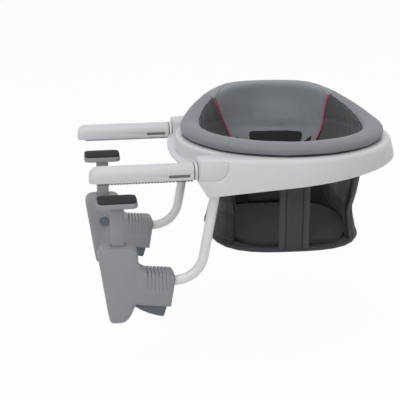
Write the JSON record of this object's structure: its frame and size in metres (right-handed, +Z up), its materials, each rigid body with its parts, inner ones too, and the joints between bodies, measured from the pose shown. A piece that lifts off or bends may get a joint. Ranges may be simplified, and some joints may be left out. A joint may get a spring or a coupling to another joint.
{
  "type": "hook-on table chair",
  "caption": "Child's seat that hangs on a table edge by two arms and two quick-grip clamps; the padded tub turns on a ring.",
  "frame": {"origin": "middle of the table edge between the arms, on the plane of the table top", "axes": "+X from the table to the chair, +Y along the table edge, +Z up"},
  "size_m": [0.514, 0.3718, 0.3184],
  "materials": {
    "white_shell": "satin moulded plastic",
    "steel": "plain steel",
    "painted_tube": "white powder coat",
    "rubber": "matt grip rubber",
    "acetal": "low-friction plastic",
    "grey_plastic": "fine-grained grey",
    "slate_plastic": "slate grey",
    "rim_cover": "smooth grey cover over foam",
    "back_cover": "woven grey cover over foam",
    "mesh_cover": "dark mesh over foam",
    "piping": "red piping cord",
    "charcoal": "charcoal cloth",
    "black_web": "black webbing and cloth",
    "board": "cloth-covered board",
    "black_plastic": "black moulded plastic"
  },
  "bodies": {
    "frame": {"frame_shell": "white_shell", "frame_base_plate": "white_shell", "glide_ring": "acetal", "left_shoulder_cover": "white_shell", "left_arm_core": "steel", "left_arm_collar": "white_shell", "left_arm_shell": "white_shell", "left_arm_pad": "rubber", "left_socket_bush": "acetal", "right_shoulder_cover": "white_shell", "right_arm_core": "steel", "right_arm_collar": "white_shell", "right_arm_shell": "white_shell", "right_arm_pad": "rubber", "right_socket_bush": "acetal"},
    "left_clamp": {"left_clamp_tube": "painted_tube", "left_housing_outer": "grey_plastic", "left_housing_inner": "grey_plastic", "left_trigger_pin": "steel", "left_trigger_spring": "steel", "left_grip_plate": "steel", "left_release_spring": "steel"},
    "left_jaw": {"left_jaw_post": "grey_plastic", "left_jaw_head": "grey_plastic", "left_jaw_pad": "rubber"},
    "left_trigger_body": {"left_trigger": "slate_plastic"},
    "left_button_body": {"left_release_button": "slate_plastic"},
    "right_clamp": {"right_clamp_tube": "painted_tube", "right_housing_outer": "grey_plastic", "right_housing_inner": "grey_plastic", "right_trigger_pin": "steel", "right_trigger_spring": "steel", "right_grip_plate": "steel", "right_release_spring": "steel"},
    "right_jaw": {"right_jaw_post": "grey_plastic", "right_jaw_head": "grey_plastic", "right_jaw_pad": "rubber"},
    "right_trigger_body": {"right_trigger": "slate_plastic"},
    "right_button_body": {"right_release_button": "slate_plastic"},
    "seat": {"turntable_ring": "acetal", "retainer_ring": "acetal", "rim_bolster": "rim_cover", "back_pad": "back_cover", "left_side_panel": "mesh_cover", "left_piping": "piping", "left_waist_strap": "black_web", "right_side_panel": "mesh_cover", "right_piping": "piping", "right_waist_strap": "black_web", "seat_skirt": "charcoal", "crotch_panel": "charcoal", "seat_board": "board", "seat_cushion": "charcoal", "lumbar_patch": "black_web", "buckle_housing": "black_plastic", "lever_pin": "steel", "lever_spring": "steel"},
    "buckle_press_body": {"buckle_button": "slate_plastic"},
    "lever_body": {"rotation_lever": "slate_plastic", "index_pin": "steel"}
  },
  "joints": [
    {"name": "seat_spin", "type": "hinge", "parent": "frame", "child": "seat", "pos_m": [0.166, 0, 0.0342], "axis": [0, 0, 1], "continuous": true},
    {"name": "left_clamp_swing", "type": "hinge", "parent": "frame", "child": "left_clamp", "pos_m": [0.03, -0.1407, -0.0158], "axis": [0, 0, -1], "range_deg": [0, 42]},
    {"name": "left_jaw_slide", "type": "slide", "parent": "left_clamp", "child": "left_jaw", "axis": [0, 0, 1], "range_m": [-0.056, 0.005]},
    {"name": "left_trigger_squeeze", "type": "hinge", "parent": "left_clamp", "child": "left_trigger_body", "pos_m": [-0.092, -0.1407, -0.1918], "axis": [0, -1, 0], "range_deg": [0, 10], "stiffness_Nm_per_rad": 0.6, "springref_deg": -5.73},
    {"name": "left_button_press", "type": "slide", "parent": "left_clamp", "child": "left_button_body", "axis": [0, -1, 0], "range_m": [0, 0.002], "stiffness_N_per_m": 800, "springref_m": -0.001},
    {"name": "right_clamp_swing", "type": "hinge", "parent": "frame", "child": "right_clamp", "pos_m": [0.03, 0.1407, -0.0158], "axis": [0, 0, 1], "range_deg": [0, 42]},
    {"name": "right_jaw_slide", "type": "slide", "parent": "right_clamp", "child": "right_jaw", "axis": [0, 0, 1], "range_m": [-0.056, 0.005]},
    {"name": "right_trigger_squeeze", "type": "hinge", "parent": "right_clamp", "child": "right_trigger_body", "pos_m": [-0.092, 0.1407, -0.1918], "axis": [0, -1, 0], "range_deg": [0, 10], "stiffness_Nm_per_rad": 0.6, "springref_deg": -5.73},
    {"name": "right_button_press", "type": "slide", "parent": "right_clamp", "child": "right_button_body", "axis": [0, 1, 0], "range_m": [0, 0.002], "stiffness_N_per_m": 800, "springref_m": -0.001},
    {"name": "lever_pull", "type": "hinge", "parent": "seat", "child": "lever_body", "pos_m": [0.1727, 0.15335, 0.0012], "axis": [-0.999, 0.0436, 0], "range_deg": [0, 10], "stiffness_Nm_per_rad": 0.5, "springref_deg": -8.59},
    {"name": "buckle_press", "type": "slide", "parent": "seat", "child": "buckle_press_body", "axis": [0.0436, 0.999, 0], "range_m": [0, 0.002], "stiffness_N_per_m": 800, "springref_m": -0.001}
  ]
}
